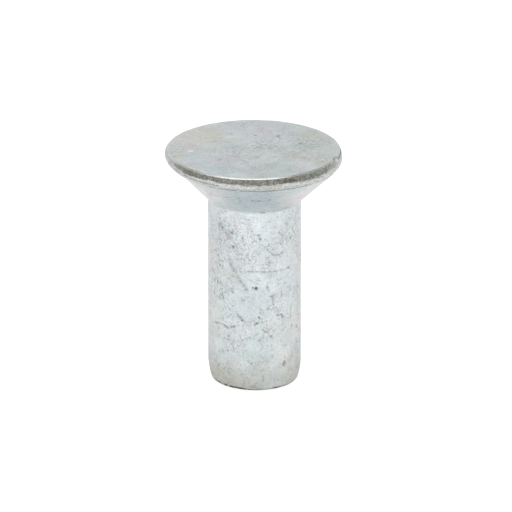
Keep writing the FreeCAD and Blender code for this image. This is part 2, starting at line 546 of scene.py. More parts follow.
FACE_MARKS = {
    "bright_scratch": (((-4.20, -0.40), (-4.02, -0.31)), 0.24, 0.05, 1.6, 0.0, Stain.BRIGHT),
    "notch_top": (((5.30, -1.62), (5.39, -1.58), (5.47, -1.55)), 0.13, 0.03, 0.8, 0.0),
    "notch_side": (((5.28, -1.80), (5.29, -2.05)), 0.13, 0.02, 0.75, 0.0),
    "faint_scratch_front": (((-1.1, -3.5), (-0.4, -2.9), (0.2, -2.4)), 0.20, 0.0, 0.45, 0.6, Stain.BRIGHT),
    "faint_scratch_right": (((3.6, -2.7), (4.5, -1.9)), 0.20, 0.0, 0.45, 0.5, Stain.BRIGHT),
    "faint_scratch_back": (((-2.2, 1.7), (-1.4, 2.5)), 0.22, 0.0, 0.5, 0.6, Stain.BRIGHT),
    "highlight_fleck_front": (((-3.4, -4.1), (-3.1, -4.5)), 0.24, 0.02, 0.7, 0.3, Stain.BRIGHT),
    "highlight_fleck_left": (((-4.5, -2.5), (-4.3, -2.3)), 0.26, 0.01, 0.5, 0.3, Stain.BRIGHT),
    "scratch_middle": (((0.72, -0.66), (0.26, -1.61)), 0.14, 0.006, 0.14),
    "scratch_left": (((-2.04, 0.49), (-1.12, 0.39)), 0.14, 0.010, 0.22),
}

FACE_SPECKS = (
    (0.13, 2.59, 0.24, 0.60), (1.61, 2.48, 0.25, 0.70), (3.09, 1.06, 0.25, 0.60), (-1.45, 2.88, 0.22, 0.50),
    (-2.51, 1.44, 0.20, 0.45), (-2.26, -2.08, 0.20, 0.50), (-1.67, -2.27, 0.18, 0.40),
    (3.34, -1.61, 0.20, 0.40), (0.26, -1.61, 0.20, 0.35), (-0.40, 0.95, 0.18, 0.35),
    (1.05, 0.30, 0.18, 0.35), (2.10, -0.90, 0.18, 0.30),
)

# Each group of spots, its depth as a share of its width, its stain, and whether it is on the face.
SPOTS = (
    (FRONT_SPECKS, PIT_DEPTH, Stain.SOOT, False),
    (FRONT_RUST, PIT_DEPTH, Stain.RUST, False),
    (FACE_SPECKS, SCRATCH_DEPTH, Stain.SOOT, True),
)

BACK_MARKS = {
    "back_lap": (((150, 6.20), (165, 6.26), (184, 6.22), (205, 6.30)), 0.10, 0.022, 0.50, 0.6),
    "back_scar": (((140, 10.6), (146, 10.1), (151, 9.5), (155, 9.0), (161, 8.6)), 0.32, 0.024, 0.20, 0.8),
    "back_scar_core": (((141, 10.5), (151, 9.5), (160, 8.7)), 0.10, 0.012, 0.35, 1.2),
    "back_pit": (((203, 9.1),), 0.26, 0.09, 1.0, 0.0),
    "back_pit_small": (((228, 4.4),), 0.20, 0.06, 0.8, 0.1),
    "back_hook": (((196, 3.6), (202, 3.5), (209, 3.6), (212, 3.9)), 0.11, 0.02, 0.55, 0.4),
    "right_side_lap": (((92, 4.9), (101, 4.96), (114, 4.9)), 0.10, 0.02, 0.5, 0.5),
    "right_side_scar": (((84, 8.3), (90, 7.8), (95, 7.1), (99, 6.7)), 0.30, 0.022, 0.20, 0.8),
    "left_side_scar": (((-88, 9.9), (-94, 9.4), (-99, 8.7), (-106, 8.3)), 0.30, 0.022, 0.20, 0.8),
    "left_side_hook": (((-84, 5.2), (-90, 5.0), (-97, 5.1)), 0.11, 0.02, 0.55, 0.4),
    "left_side_pit": (((-112, 6.4),), 0.22, 0.07, 0.9, 0.0),
    "right_side_pit": (((118, 9.9),), 0.20, 0.06, 0.8, 0.0),
}

# Where the shank and the face are scratched and peppered most, and where they are left clean.
WORN_PLACES = (
    (-43.5, 11.3), (-17.5, 11.3), (2.5, 10.9), (-42, 10.1), (-43.5, 8.9), (-20, 9.95), (1, 9.3), (23, 9.1),
    (45.5, 10.4), (-60, 7.0), (-47.5, 6.3), (-25.5, 8.1), (27, 6.2), (-21.5, 5.2), (5, 5.1), (-31, 3.65),
    (-17.5, 3.3), (17.5, 4.05), (33, 10.8),
)
CLEAN_PLACES = (
    (10, 12.0), (31, 11.8), (2.5, 7.9), (-7.5, 6.5), (37, 7.5), (34, 3.8), (44, 2.3), (1, 3.0), (-57.5, 5.6),
    (-17.5, 1.4), (20, 1.3), (-8, 7.9), (-52, 2.9), (-38, 2.1), (57, 1.9), (52, 9.3), (20, 11.4), (-66, 4.6),
)
FACE_WORN_PLACES = ((0.4, 0.6), (2.2, -0.4), (-1.2, -1.0), (3.4, 1.4))
FACE_CLEAN_PLACES = ((-3.4, 2.2), (-2.2, 3.4), (-3.0, 0.8))

# Each group of places, how worn it is, how far each place reaches, and whether it is on the face.
WEAR_PATCHES = (
    (WORN_PLACES, 1.0, 0.85, False),
    (CLEAN_PLACES, 0.05, 0.90, False),
    (FACE_WORN_PLACES, 1.0, 1.3, True),
    (FACE_CLEAN_PLACES, 0.15, 1.4, True),
)

# Values by angle, in degrees to the right of the front, and so round to the back on both sides. The border's
# drop is counted in points of the profile, and the others are shares.
# How far the rim is torn and painted with its dark reflection, at each angle.
RIM_TEAR_AND_DARK_REFLECTION = (
    (-180, 0.8), (-110, 0.3), (-84, 0.1), (-74, 0.1), (-66, 0.3), (-57, 0.75), (-50, 1.0), (30, 1.0),
    (48, 0.9), (60, 0.60), (70, 0.30), (78, 0.12), (95, 0.12), (120, 0.5), (180, 0.8),
)
RIM_BORDER_DROP = (
    (-180, 0.8), (-100, 0.0), (-84, -2.2), (-68, -1.4), (-50, 0.8), (30, 0.8), (45, -1.0), (64, -1.8),
    (92, -2.4), (120, 0.8), (180, 0.8),
)
# How far the top of the face's edge is torn and painted dark, beside its highlight.
EDGE_TEAR_AND_DARK_REFLECTION = (
    (-180, 0.2), (-95, 0.2), (-75, 0.4), (-60, 0.9), (-38, 0.8), (-26, 0.1), (17, 0.1), (24, 0.85),
    (60, 0.9), (74, 0.4), (100, 0.2), (180, 0.2),
)
# How far the face's edge is burnished and painted with its highlight, at each angle.
EDGE_BURNISH_AND_HIGHLIGHT = (
    (-180, 0.9), (-120, 0.4), (-45, 0.1), (-32, 0.15), (-25, 0.45), (-12, 0.75), (8, 0.85), (18, 0.3),
    (27, 0.05), (110, 0.3), (180, 0.9),
)
# How strong the drawn end's olive film and painted shade are, at each angle.
END_FILM_AND_SHADE = (
    (-180, 1.0), (-70, 1.3), (-40, 1.2), (-20, 1.0), (8, 0.9), (18, 0.4), (28, 0.35), (45, 0.65), (62, 0.9),
    (180, 1.0),
)
# How high the painted shadow along the sheared corner reaches, at each angle.
CORNER_SHADOW = (
    (-180, 0.6), (-80, 0.4), (-64, 0.8), (-25, 0.9), (-8, 0.5), (0, 0.2), (18, 0.25), (28, 0.7), (50, 0.5),
    (180, 0.6),
)


@dataclass(frozen=True)
class Relief:
    """Fine unevenness that is pressed into some zones of the surface."""

    name: str
    zones: tuple[Zone, ...]
    grain: float
    height: float
    octaves: int = 2


RELIEFS = (
    Relief("shank_waves", (Zone.DRAWN_END, Zone.SHANK, Zone.END_FACE), 1.7, 0.018),
    Relief("shank_skin", (Zone.DRAWN_END, Zone.SHANK), 0.30, 0.012),
    Relief("cone_skin", (Zone.CONE, Zone.FILLET), 0.9, 0.008),
    Relief("lip_grains", (Zone.LIP,), 0.17, 0.034),
    Relief("rim_grains", (Zone.RIM,), 0.17, 0.018),
    Relief("rim_waves", (Zone.LIP, Zone.RIM, Zone.FACE_EDGE), 1.0, 0.045),
    Relief("face_waves", (Zone.FACE,), 1.6, 0.012),
    Relief("face_skin", (Zone.FACE,), 0.45, 0.006),
)


# Soft patches of the passivated film, and on the sides some painted shade, reflections and sheen: where each
# lies, how far it reaches, and the colour it gives.
FACE_TINTS = {
    "beige_back_left": ((-3.1, 2.4), 2.2, "#f0f1e9"),
    "beige_left": ((-4.2, 1.3), 1.1, "#f2f1ec"),
    "blue_back": ((-0.9, 4.4), 1.4, "#eef7fb"),
    "lilac_left": ((-4.7, 0.0), 1.1, "#f2f1f1"),
    "blue_front_left": ((-4.0, -2.2), 1.5, "#e1ecf2"),
    "blue_front": ((-2.4, -3.7), 1.5, "#e0eef2"),
    "lilac_front_left": ((-1.9, -2.1), 1.2, "#e9ebf0"),
    "pink_front": ((0.3, -4.6), 1.3, "#dde3e2"),
    "lilac_back": ((0.7, 3.3), 1.8, "#e9edf2"),
    "teal_right": ((3.9, 1.0), 1.6, "#dfece9"),
    "olive_back_right": ((4.2, 2.5), 1.5, "#e6ebe3"),
    "olive_edge_right": ((4.5, -2.5), 1.2, "#e6e9e1"),
    "cream_edge_left": ((-5.0, -1.7), 0.8, "#edeee7"),
    "cream_edge_front": ((-4.0, -3.5), 0.8, "#edeee6"),
    "pale_middle": ((1.9, -0.6), 1.4, "#eaf3f2"),
    "yellow_right": ((5.0, 0.0), 0.9, "#e3e8e3"),
    "olive_front_right": ((3.0, -1.6), 1.2, "#e3e8e2"),
    "cyan_front": ((1.4, -3.6), 1.7, "#dce9e7"),
}

SIDE_TINTS = {
    "shank_blue_top": ((5.0, 11.5), 1.3, "#f2fcff"),
    "shank_beige_top": ((-19.0, 11.6), 0.8, "#ebf1f0"),
    "shank_grey_upper_right": ((31.0, 11.0), 0.9, "#e1e9ea"),
    "shank_lilac_left": ((-40.0, 10.0), 1.3, "#e2e6ea"),
    "shank_dull_left": ((-30.0, 8.0), 1.3, "#dfe6e7"),
    "shank_blue_low": ((-8.0, 6.4), 1.6, "#e1ebee"),
    "shank_lilac_right": ((34.0, 4.2), 1.5, "#e9edee"),
    "shank_green_left": ((-52.0, 4.9), 0.8, "#e9efe7"),
    "shank_beige_low_right": ((44.0, 1.6), 1.4, "#f1f3f0"),
    "shank_green_low": ((2.0, 3.0), 1.2, "#e7f2f2"),
    # Painted sheen: both edges of the shank a little more neutral, where they are seen edge-on.
    "shank_edge_sheen_left": ((-72.0, 9.0), 1.8, "#eef0ef"),
    "shank_edge_sheen_low_left": ((-72.0, 4.5), 1.8, "#eef0ee"),
    "shank_edge_sheen_right": ((75.0, 9.0), 1.8, "#f0f2f1"),
    "shank_edge_sheen_low_right": ((75.0, 4.5), 1.8, "#eff1ef"),
    # Painted shade in the cone's middle and painted reflections at its sides, where it mirrors the shaded
    # and the bright floor.
    "cone_painted_shade_middle": ((0.0, 14.1), 2.2, "#e0e9ec"),
    "cone_painted_reflection_left": ((-52.0, 14.0), 1.9, "#fbf8f7"),
    "cone_painted_reflection_right": ((48.0, 14.0), 2.0, "#fffafa"),
}


# Zones of each plain finish, how many points its border is eased over, and how far the border wanders.
PLAIN_FINISHES = {
    "zone_shank": ((Zone.SHANK, Zone.FILLET), 3, 3.0),
    "zone_cone": ((Zone.CONE, Zone.FILLET), 3, 2.0),
    "zone_lip": ((Zone.LIP,), 1, 1.5),
    "zone_face": ((Zone.FACE,), 1, 0.0),
    "zone_end": ((Zone.END_FACE,), 0, 0.0),
}


@dataclass(frozen=True)
class Grain:
    """A noise pattern in the plate, whose share rises from 0 to 1 as the noise goes from start to full.

    A pattern of lines follows the noise's contours instead, so it draws thin wandering lines. The offset
    keeps patterns of one size from lying on each other.
    """

    size: float
    start: float
    full: float
    detail: float = 2.0
    wander: float = 0.0
    stretch: tuple[float, float, float] = (1.0, 1.0, 1.0)
    lines: bool = False
    offset: float = 0.0

    def share(self, tree: NodeTree, place: NodeSocket) -> NodeSocket:
        """Add the pattern to a material.

        Args:
            tree: The material's node tree.
            place: Place on the piece, in millimetres.

        Returns:
            The pattern's share at each place.
        """
        scale = [1 / (self.size * axis) for axis in self.stretch]
        moved = add_node(
            tree, "ShaderNodeMapping", {"Vector": place, "Location": (self.offset,) * 3, "Scale": scale}
        )
        value = add_node(
            tree,
            "ShaderNodeTexNoise",
            {
                "Vector": moved,
                "Scale": 1.0,
                "Detail": self.detail,
                "Roughness": NOISE_ROUGHNESS,
                "Distortion": self.wander,
            },
        )
        if self.lines:
            off_middle = add_node(tree, "ShaderNodeMath", {0: value, 1: NOISE_MIDDLE}, operation="SUBTRACT")
            value = add_node(tree, "ShaderNodeMath", {0: off_middle}, operation="ABSOLUTE")
        return add_node(
            tree,
            "ShaderNodeMapRange",
            {"Value": value, "From Min": self.start, "From Max": self.full},
            interpolation_type="SMOOTHSTEP",
        )


@dataclass(frozen=True)
class Layer:
    """A colour that covers the plate where all of its grains and attributes meet."""

    colour: str
    strength: float
    attributes: tuple[str, ...] = ()
    grains: tuple[Grain, ...] = ()

    def lay(self, tree: NodeTree, place: NodeSocket, under: object) -> NodeSocket:
        """Lay the colour over what is there.

        Args:
            tree: The material's node tree.
            place: Place on the piece, in millimetres.
            under: The colour so far.

        Returns:
            The colour with this layer on it.
        """
        cover: object = self.strength
        shares = [grain.share(tree, place) for grain in self.grains]
        for name in self.attributes:
            shares.append(add_node(tree, "ShaderNodeAttribute", output="Fac", attribute_name=name))
        for share in shares:
            cover = add_node(tree, "ShaderNodeMath", {0: cover, 1: share}, operation="MULTIPLY")
        return add_node(
            tree, "ShaderNodeMix", {0: cover, 6: under, 7: linear(self.colour)}, 2, data_type="RGBA"
        )


ROUND_ABOUT = (9.0, 9.0, 1.0)
WORN_SHANK = ("zone_shank", "wear")
WORN_FACE = ("zone_face", "wear")

FILM_LAYERS = (
    # Thicker and thinner plate: dull steel blue, lilac, beige and bluish patches, all faint.
    Layer("#d8e0e2", 0.50, (), (Grain(1.5, 0.44, 0.62, detail=3.0),)),
    Layer("#e0e3e7", 0.45, (), (Grain(0.9, 0.50, 0.64, offset=3.1),)),
    Layer("#e6e8e3", 0.40, (), (Grain(1.1, 0.52, 0.66, offset=7.7),)),
    Layer("#dfe9ea", 0.50, (), (Grain(0.8, 0.52, 0.66, offset=12.9),)),
)

SURFACE_LAYERS = (
    # Crystals of the plate, too fine to see singly, drawn at twice their size so that they show.
    Layer("#b2b9bb", 0.32, (), (Grain(0.10, 0.44, 0.66, detail=1.0),)),
    Layer("#fafdfd", 0.45, ("zone_shank",), (Grain(0.15, 0.58, 0.70, offset=5.0),)),
    # Wandering scratches of the wire on the shank, in crowds, with salts of the bath in them.
    Layer(
        "#72756f", 0.64, WORN_SHANK,
        (Grain(0.38, 0.036, 0.008, wander=1.6, lines=True), Grain(0.26, 0.43, 0.52, offset=4.0)),
    ),
    Layer(
        "#7c8085", 0.55, WORN_SHANK,
        (Grain(0.22, 0.034, 0.010, wander=2.0, lines=True, offset=9.0), Grain(0.3, 0.50, 0.58, offset=2.0)),
    ),
    # Pepper: pinholes of the plate.
    Layer(
        "#5e605c", 0.50, WORN_SHANK,
        (Grain(0.125, 0.345, 0.28, wander=0.9, offset=6.0), Grain(0.8, 0.44, 0.58, offset=8.0)),
    ),
    Layer("#7c7d78", 0.30, WORN_SHANK, (Grain(0.17, 0.36, 0.28, wander=1.5, offset=16.0),)),
    # Face: a faint grain, finer and paler than the shank's.
    Layer("#b0b6b6", 0.56, WORN_FACE, (Grain(0.17, 0.47, 0.60, stretch=(1.8, 1.0, 1.0), offset=11.0),)),
    Layer("#9fa5a6", 0.32, WORN_FACE, (Grain(0.22, 0.030, 0.010, wander=1.6, lines=True, offset=19.0),)),
    Layer("#fdfefd", 0.70, WORN_FACE, (Grain(0.14, 0.55, 0.66, offset=14.0),)),
    # Cone: fine scratches round about, from the heading die.
    Layer("#b4bcc1", 0.36, ("zone_cone",), (Grain(0.055, 0.50, 0.66, stretch=ROUND_ABOUT, offset=3.0),)),
    # Lip: rough, matt and a little beige, with pale beads next to the torn rim.
    Layer("#e4e2da", 0.50, ("zone_lip",), (Grain(0.5, 0.36, 0.56, offset=2.0),)),
    Layer("#b0aea4", 0.58, ("zone_lip",), (Grain(0.13, 0.46, 0.62, offset=7.0),)),
    Layer("#74736b", 0.60, ("zone_lip",), (Grain(0.11, 0.39, 0.31, offset=21.0),)),
    Layer("#fdfdf9", 0.80, ("zone_beads",), (Grain(0.16, 0.48, 0.60, offset=17.0),)),
    # Painted shadow in the crease under the lip.
    Layer("#6b6a62", 0.80, ("zone_crease_shadow",), (Grain(0.6, 0.34, 0.50, offset=5.0),)),
    # Rim: torn when the head was formed, so it is olive grey, and dark partly from the tearing and partly as
    # a painted dark reflection.
    Layer("#a0a098", 1.00, ("zone_torn_rim_and_dark_reflection",)),
    Layer("#70706a", 0.72, ("zone_torn_rim_and_dark_reflection",), (Grain(0.16, 0.40, 0.60, offset=9.0),)),
    Layer("#d2d2ca", 0.60, ("zone_torn_rim_and_dark_reflection",), (Grain(0.13, 0.58, 0.68, offset=18.0),)),
    Layer("#4a4a42", 0.68, ("zone_torn_rim_and_dark_reflection",), (Grain(0.12, 0.40, 0.31, offset=4.0),)),
    # Edge of the face, burnished in front and behind; in front its brightness is also a painted highlight.
    Layer("#f6f6f0", 1.00, ("zone_burnish_and_highlight",)),
    # Drawn end: olive film and painted shade, darker towards the bottom, with streaks up the shank, and a
    # painted shadow as a dark line at the sheared corner.
    Layer("#cccac0", 0.70, ("zone_drawn_film_and_shade",)),
    Layer(
        "#a3a298", 0.55, ("zone_drawn_film_and_shade",),
        (
            Grain(0.17, 0.45, 0.62, wander=1.4, stretch=(1.0, 1.0, 1.6), offset=6.0),
            Grain(0.6, 0.40, 0.54, offset=1.0),
        ),
    ),
    # Painted shadow: a dark line along the sheared corner.
    Layer("#45443e", 0.95, ("zone_corner_shadow",), (Grain(0.4, 0.30, 0.46, offset=10.0),)),
    # End face: sheared off the wire, so it has fine lines across it and duller torn patches.
    Layer("#a5a399", 0.60, ("zone_end",), (Grain(0.10, 0.44, 0.60, stretch=(14.0, 1.0, 1.0), offset=8.0),)),
    Layer(
        "#8e8c83", 0.55, ("zone_end",),
        (Grain(1.8, 0.48, 0.56, wander=0.8, offset=15.0), Grain(0.16, 0.38, 0.58, offset=13.0)),
    ),
)

STAIN_LAYERS = (
    # Soot in pits and scratches; in the crease under the lip it is painted shadow, and on the rim a painted
    # dark reflection.
    Layer("#383a37", 1.0, (Stain.SOOT.value,)),
    Layer("#655848", 1.0, (Stain.RUST.value,)),
    # Painted highlights: the glint in the notch, and the bright flecks and scratch lines on the face.
    Layer("#ffffff", 1.0, (Stain.BRIGHT.value,)),
)


@dataclass(frozen=True)
class ZincPlate:
    """Barrel zinc plate, clear passivated: a soft pale metal with a faint rainbow film over dull steel blue.

    The plate is thin, so it keeps the wire's laps and pits, which hold dull grey salts from the bath.
    """

    clean: str = "#ebf3f4"
    roughness: tuple[float, float] = (0.32, 0.43)
    dull_patches: Grain = Grain(0.7, 0.3, 0.7, detail=3.0)
    skin: Grain = Grain(0.11, 0.2, 0.8)
    skin_height: float = 0.015
    torn_rim: Grain = Grain(0.16, 0.3, 0.7, offset=9.0)
    rim_height: float = 0.06

    def colour(self, tree: NodeTree, place: NodeSocket) -> NodeSocket:
        """Colour of the plate: film, tint, surface and stains, in the order they came on; the tint, surface
        and stains also hold painted shade, reflections and highlights.

        Args:
            tree: The material's node tree.
            place: Place on the piece, in millimetres.

        Returns:
            The finished colour.
        """
        colour: object = linear(self.clean)
        for layer in FILM_LAYERS:
            colour = layer.lay(tree, place, colour)
        tint_and_painted_light = add_node(tree, "ShaderNodeAttribute", output="Color", attribute_name="tint_and_painted_light")
        colour = add_node(
            tree, "ShaderNodeMix", {0: 1.0, 6: colour, 7: tint_and_painted_light}, 2, data_type="RGBA", blend_type="MULTIPLY"
        )
        for layer in (*SURFACE_LAYERS, *STAIN_LAYERS):
            colour = layer.lay(tree, place, colour)
        return colour

    def build(self) -> Material:
        """Make the node material.

        Returns:
            The material, which reads the piece's own attributes and its place in millimetres.
        """
        material = bpy.data.materials.new("zinc_plate_passivated")
        tree = bare_tree(material)
        metres = add_node(tree, "ShaderNodeTexCoord", output="Object")
        place = add_node(tree, "ShaderNodeVectorMath", {0: metres, "Scale": 1 / MM}, operation="SCALE")
        dulled = self.dull_patches.share(tree, place)
        sleek, dull = self.roughness
        rough = add_node(tree, "ShaderNodeMapRange", {"Value": dulled, "To Min": sleek, "To Max": dull})
        skin = self.skin.share(tree, place)
        torn = self.torn_rim.share(tree, place)
        on_rim = add_node(tree, "ShaderNodeAttribute", output="Fac", attribute_name="zone_torn")
        rim_share = add_node(tree, "ShaderNodeMath", {0: torn, 1: on_rim}, operation="MULTIPLY")
        height = add_node(
            tree,
            "ShaderNodeMath",
            {0: rim_share, 1: self.rim_height / self.skin_height, 2: skin},
            operation="MULTIPLY_ADD",
        )
        normal = add_node(
            tree, "ShaderNodeBump", {"Strength": 1.0, "Distance": self.skin_height * MM, "Height": height}
        )
        shader = add_node(
            tree,
            "ShaderNodeBsdfPrincipled",
            {"Base Color": self.colour(tree, place), "Metallic": 1.0, "Roughness": rough, "Normal": normal},
        )
        add_node(tree, "ShaderNodeOutputMaterial", {"Surface": shader})
        return material


@dataclass(frozen=True)
class Borders:
    """How ragged the borders between the finishes are, and how far each finish reaches.

    Lengths are millimetres, waves are counted to the millimetre, and steps are points of the profile.
    """

    waves: float = 1.6
    fine_waves: float = 4.5
    fine_share: float = 0.5
    ragged_degrees: float = 5.0
    rim_ragged_steps: float = 2.6
    edge_top_steps: tuple[float, float] = (0.5, 3.0)
    torn_rim_share: float = 0.5
    drawn_heights: tuple[float, float] = (0.3, 3.0)
    drawn_ragged: float = 0.9
    corner_shadow_least_height: float = 0.08
    corner_shadow_added_height: float = 0.24
    corner_shadow_solid_share: float = 0.55
    bead_drop: float = 0.16
    bead_fade: tuple[float, float] = (0.02, 0.16)
    bead_ragged: float = 0.10
    crease_shadow_fade: float = 0.08


@dataclass(frozen=True)
class Scatter:
    """Small scratches and pinholes strewn all round the shank, always the same ones."""

    seed: int = 11
    count: int = 440
    heights: tuple[float, float] = (0.9, 12.2)
    widths: tuple[float, float] = (0.08, 0.13)
    longest: float = 0.45
    rusty_share: float = 0.15
    strengths: tuple[float, float] = (0.08, 0.38)
    broken: float = 0.5

    def marks(self, radius: float) -> list[Mark]:
        """Draw the marks.

        Args:
            radius: The shank's radius, which turns a length round it into an angle.

        Returns:
            The marks, in a fixed order.
        """
        rng = random.Random(self.seed)
        marks = []
        for _ in range(self.count):
            angle, height = rng.uniform(-180, 180), rng.uniform(*self.heights)
            width, length = rng.uniform(*self.widths), rng.uniform(0.0, self.longest)
            turn = rng.uniform(0, math.tau)
            along = math.degrees(length * math.cos(turn) / radius)
            path = ((angle, height), (angle + along, height + length * math.sin(turn)))
            stain = Stain.RUST if rng.random() < self.rusty_share else Stain.SOOT
            strength = rng.uniform(*self.strengths)
            marks.append(Mark(path, width, SCRATCH_DEPTH * width, strength, self.broken, stain))
        return marks


@dataclass
class Rivet:
    """The rivet itself: one piece, headed from wire, drawn as a spun profile and then made uneven.

    While it is built, it keeps the piece, its turned surface, the places of the turned vertices, the number
    of the profile point that each was turned from, and how far the borders between finishes wander there.
    """

    profile: TurnedProfile
    unevenness: Unevenness
    finish: ZincPlate
    borders: Borders = Borders()
    scatter: Scatter = Scatter()
    segments: int = 300
    merge_distance: float = 0.0005
    mark_spread: float = 1.2
    break_swing: float = 2.2
    break_waves: float = 4.6
    break_loss: float = 0.3
    tint_waves: float = 0.9
    tint_ragged: float = 0.45
    wear_waves: float = 0.8
    wear_mean: float = 0.42
    wear_swing: float = 1.1
    wear_border_waves: float = 1.3
    wear_ragged: float = 0.35
    node: str = "rivet"
    name: str = "zinc_plated_rivet"
    piece: Object = field(init=False)
    surface: Surface = field(init=False)
    turned: np.ndarray = field(init=False)
    rings: np.ndarray = field(init=False)
    ragged: np.ndarray = field(init=False)

    def spin(self) -> Object:
        """Draw the profile from a single vertex and spin it round the axis.

        Returns:
            The turned shell, in millimetres.
        """
        points = self.profile.points()
        bpy.ops.object.select_all(action="DESELECT")
        bpy.ops.mesh.primitive_plane_add(size=1.0, location=(0, 0, 0))
        piece = bpy.context.object
        piece.name = self.name
        piece.data.name = self.name
        bpy.ops.object.mode_set(mode="EDIT")
        bpy.ops.mesh.select_all(action="SELECT")
        bpy.ops.mesh.merge(type="CENTER")
        for before, after in zip(points, points[1:]):
            step = (after.radius - before.radius, 0.0, after.height - before.height)
            bpy.ops.mesh.extrude_region_move(TRANSFORM_OT_translate={"value": step})
        bpy.ops.mesh.select_all(action="SELECT")
        bpy.ops.mesh.spin(steps=self.segments, angle=math.tau, center=(0, 0, 0), axis=(0, 0, 1))
        bpy.ops.mesh.select_all(action="SELECT")
        bpy.ops.mesh.remove_doubles(threshold=self.merge_distance)
        bpy.ops.mesh.normals_make_consistent(inside=False)
        bpy.ops.object.mode_set(mode="OBJECT")
        return piece

    def coordinates(self) -> np.ndarray:
        """Places of the piece's vertices, one a row."""
        coords = np.empty(len(self.piece.data.vertices) * 3)
        self.piece.data.vertices.foreach_get("co", coords)
        return coords.reshape(-1, 3)

    def store(self, name: str, values: np.ndarray) -> None:
        """Keep one number for each vertex as an attribute of the piece."""
        layer = self.piece.data.attributes.new(name, "FLOAT", "POINT")
        layer.data.foreach_set("value", values.astype(np.float32))

    def survey(self) -> None:
        """Take stock of the turned shape, before anything is pressed into it."""
        self.surface = Surface(self.profile)
        self.turned = self.coordinates()
        tree = finder([(point.radius, 0, point.height) for point in self.profile.points()])
        radii = np.hypot(self.turned[:, 0], self.turned[:, 1])
        self.rings = np.array([tree.find((r, 0, z))[1] for r, z in zip(radii, self.turned[:, 2])])
        waves, fine_waves, fine_share = self.borders.waves, self.borders.fine_waves, self.borders.fine_share
        places = [Vector(place) for place in self.turned]
        wander = [noise.noise(p * waves) + fine_share * noise.noise(p * fine_waves) for p in places]
        self.ragged = np.array(wander)

    def zone_share(self, zones: tuple[Zone, ...], spread: int = 2) -> np.ndarray:
        """How far each profile point belongs to some zones, eased over a few points at the borders."""
        inside = np.array([float(p.zone in zones) for p in self.profile.points()])
        padded = np.pad(inside, spread, mode="edge")
        width = 2 * spread + 1
        return np.convolve(padded, np.ones(width) / width, mode="valid")

    def store_zones(self) -> None:
        """Store where each zone's finish lies, with ragged borders."""
        order = np.arange(len(self.profile.points()))
        for name, (zones, spread, steps) in PLAIN_FINISHES.items():
            share = self.zone_share(zones, spread)
            self.store(name, np.interp(self.rings + steps * self.ragged, order, share))
        angles = np.degrees(np.arctan2(self.turned[:, 0], -self.turned[:, 1]))
        angles = angles + self.borders.ragged_degrees * self.ragged
        self.store_rim(angles)
        self.store_lines(angles)

    def store_rim(self, angles: np.ndarray) -> None:
        """Store where the rim is torn and painted with its dark reflection, and where the edge of the face
        is burnished and painted with its highlight.

        Args:
            angles: Angle of each vertex to the right of the front, wandering a little.
        """
        rings = self.rings
        rim = self.zone_share((Zone.RIM,), 0)
        edge = self.zone_share((Zone.FACE_EDGE,), 0)
        order = np.arange(len(rim))
        drop = round_share(angles, RIM_BORDER_DROP) + self.borders.rim_ragged_steps * self.ragged
        lowered = rings + drop * (rings < np.average(order, weights=rim))
        edge_top = edge * smooth(*self.borders.edge_top_steps, order - np.argmax(edge))
        on_top = np.interp(rings, order, edge_top)
        burnish_and_highlight = on_top * round_share(angles, EDGE_BURNISH_AND_HIGHLIGHT)
        torn_and_dark_edge = np.interp(rings, order, edge - edge_top) + on_top * round_share(angles, EDGE_TEAR_AND_DARK_REFLECTION)
        on_rim = np.maximum(np.interp(lowered, order, rim), torn_and_dark_edge) * (1 - burnish_and_highlight)
        torn = self.zone_share((Zone.LIP,), 1) + self.borders.torn_rim_share * rim
        self.store("zone_torn_rim_and_dark_reflection", on_rim * round_share(angles, RIM_TEAR_AND_DARK_REFLECTION))
        self.store("zone_torn", np.interp(rings, order, torn))
        self.store("zone_burnish_and_highlight", burnish_and_highlight)

    def store_lines(self, angles: np.ndarray) -> None:
        """Store the drawn end's film with its painted shade, the painted shadow along its corner, and the
        painted shadow in the crease and the beads of the lip.

        Args:
            angles: Angle of each vertex to the right of the front, wandering a little.
        """
        borders, profile, ragged = self.borders, self.profile, self.ragged
        x, y, heights = self.turned.T
        outer = np.hypot(x, y) > profile.end_face_radius
        drawn = 1 - smooth(*borders.drawn_heights, heights + borders.drawn_ragged * ragged)
        corner_shadow = borders.corner_shadow_least_height + borders.corner_shadow_added_height * round_share(angles, CORNER_SHADOW)
        off_beads = np.abs(heights + borders.bead_ragged * ragged - (profile.widest - borders.bead_drop))
        off_crease = np.abs(heights - profile.crease)
        self.store("zone_drawn_film_and_shade", drawn * round_share(angles, END_FILM_AND_SHADE))
        self.store("zone_corner_shadow", (1 - smooth(borders.corner_shadow_solid_share, 1.0, heights / corner_shadow)) * outer)
        self.store("zone_crease_shadow", 1 - smooth(0.0, borders.crease_shadow_fade, off_crease))
        self.store("zone_beads", 1 - smooth(*borders.bead_fade, off_beads))

    def displace(
        self, name: str, weights: np.ndarray, strength: float, texture: Texture | None = None
    ) -> None:
        """Move the vertices along their normals.

        Args:
            name: What the displacement is called.
            weights: Its share at each vertex.
            strength: Its size in millimetres, outwards.
            texture: The pattern that it follows, in and out, or nothing for a plain move.
        """
        group = self.piece.vertex_groups.new(name=name)
        for index in np.flatnonzero(weights > 0).tolist():
            group.add([index], weights[index], "REPLACE")
        modifier = self.piece.modifiers.new(name, "DISPLACE")
        modifier.texture = texture
        modifier.texture_coords = "LOCAL"
        modifier.mid_level = NOISE_MIDDLE if texture else 0.0
        modifier.strength = strength
        modifier.vertex_group = group.name
        bpy.ops.object.modifier_apply(modifier=modifier.name)
        self.piece.vertex_groups.clear()

    def press_relief(self, relief: Relief) -> None:
        """Press one fine unevenness into its zones."""
        texture = bpy.data.textures.new(relief.name, "CLOUDS")
        texture.noise_scale = relief.grain
        texture.noise_depth = relief.octaves
        self.displace(relief.name, self.zone_share(relief.zones)[self.rings], relief.height, texture)

